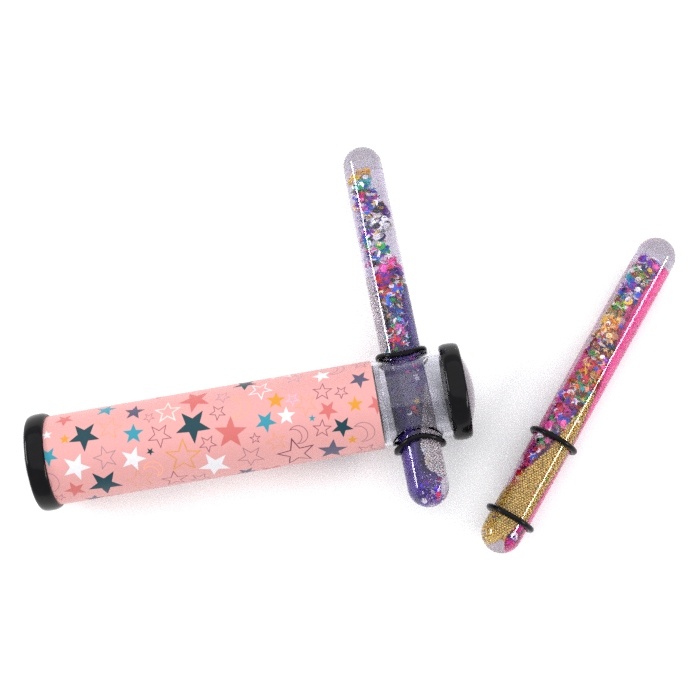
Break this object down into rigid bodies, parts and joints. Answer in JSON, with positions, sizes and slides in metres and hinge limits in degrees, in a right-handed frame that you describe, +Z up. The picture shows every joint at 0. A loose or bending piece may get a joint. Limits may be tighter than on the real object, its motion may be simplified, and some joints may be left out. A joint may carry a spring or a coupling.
{
  "type": "kaleidoscope",
  "caption": "Wand kaleidoscope: clear tube in a printed star wrap, black bumper rings, domed end lens, a glitter wand through its clear end and a spare wand beside it.",
  "frame": {"origin": "centre of the whole set's footprint, on the table that it lies on", "axes": "+X along the kaleidoscope tube from the eyepiece to the domed lens, +Y towards the long side of the wand, +Z up"},
  "size_m": [0.2652, 0.1718, 0.0384],
  "materials": {
    "acrylic_clear": "gloss",
    "wrap_print": "satin",
    "liner_card": "matte",
    "bumper_rubber": "gloss",
    "eyepiece_black": "satin",
    "window_clear": "gloss",
    "lens_clear": "gloss",
    "mirror_face": "polished",
    "collar_card": "matte",
    "oring_rubber": "satin",
    "beads_silver": "gloss",
    "glitter_violet": "gloss",
    "foil_violet": "gloss",
    "liquid_violet": "gloss",
    "beads_gold": "gloss",
    "glitter_pink": "gloss",
    "foil_pink": "gloss",
    "liquid_pink": "gloss"
  },
  "bodies": {
    "scope": {"body_tube": "acrylic_clear", "printed_wrap": "wrap_print", "liner_sleeve": "liner_card", "eyepiece_bumper": "bumper_rubber", "lens_bumper": "bumper_rubber", "eyepiece_disc": "eyepiece_black", "eyepiece_window": "window_clear", "object_window": "window_clear", "end_lens": "lens_clear", "mirror_base": "mirror_face", "mirror_left": "mirror_face", "mirror_right": "mirror_face", "prism_collar_near": "collar_card", "prism_collar_far": "collar_card"},
    "short_side_oring": {"oring_short_side": "oring_rubber"},
    "wand": {"wand_tube": "acrylic_clear", "wand_plug": "acrylic_clear", "wand_beads": "beads_silver", "wand_glitter": "glitter_violet", "wand_foil_shapes": "foil_violet", "wand_liquid": "liquid_violet"},
    "long_side_oring": {"oring_long_side": "oring_rubber"},
    "spare_wand": {"spare_wand_tube": "acrylic_clear", "spare_wand_plug": "acrylic_clear", "spare_wand_beads": "beads_gold", "spare_wand_glitter": "glitter_pink", "spare_wand_foil_shapes": "foil_pink", "spare_wand_liquid": "liquid_pink"},
    "spare_high_oring": {"spare_oring_high": "oring_rubber"},
    "spare_low_oring": {"spare_oring_low": "oring_rubber"}
  },
  "joints": [
    {"name": "wand_slide", "type": "slide", "parent": "scope", "child": "short_side_oring", "axis": [0.0241, -0.9934, 0.1122], "range_m": [0, 0.13]},
    {"name": "wand_spin", "type": "hinge", "parent": "short_side_oring", "child": "wand", "pos_m": [0.01759, -0.02119, 0.0192], "axis": [-0.0241, 0.9934, -0.1122], "continuous": true},
    {"name": "long_side_oring_roll", "type": "slide", "parent": "scope", "child": "long_side_oring", "axis": [-0.0241, 0.9934, -0.1122], "range_m": [0, 0.06]},
    {"name": "spare_wand_lift", "type": "slide", "parent": "scope", "child": "spare_wand", "axis": [0, 0, 1], "range_m": [0, 0.06]},
    {"name": "spare_high_oring_roll", "type": "slide", "parent": "spare_wand", "child": "spare_high_oring", "axis": [-0.6371, -0.7704, 0.0264], "range_m": [0, 0.0322]},
    {"name": "spare_low_oring_roll", "type": "slide", "parent": "spare_wand", "child": "spare_low_oring", "axis": [-0.6371, -0.7704, 0.0264], "range_m": [0, 0.0163]}
  ]
}
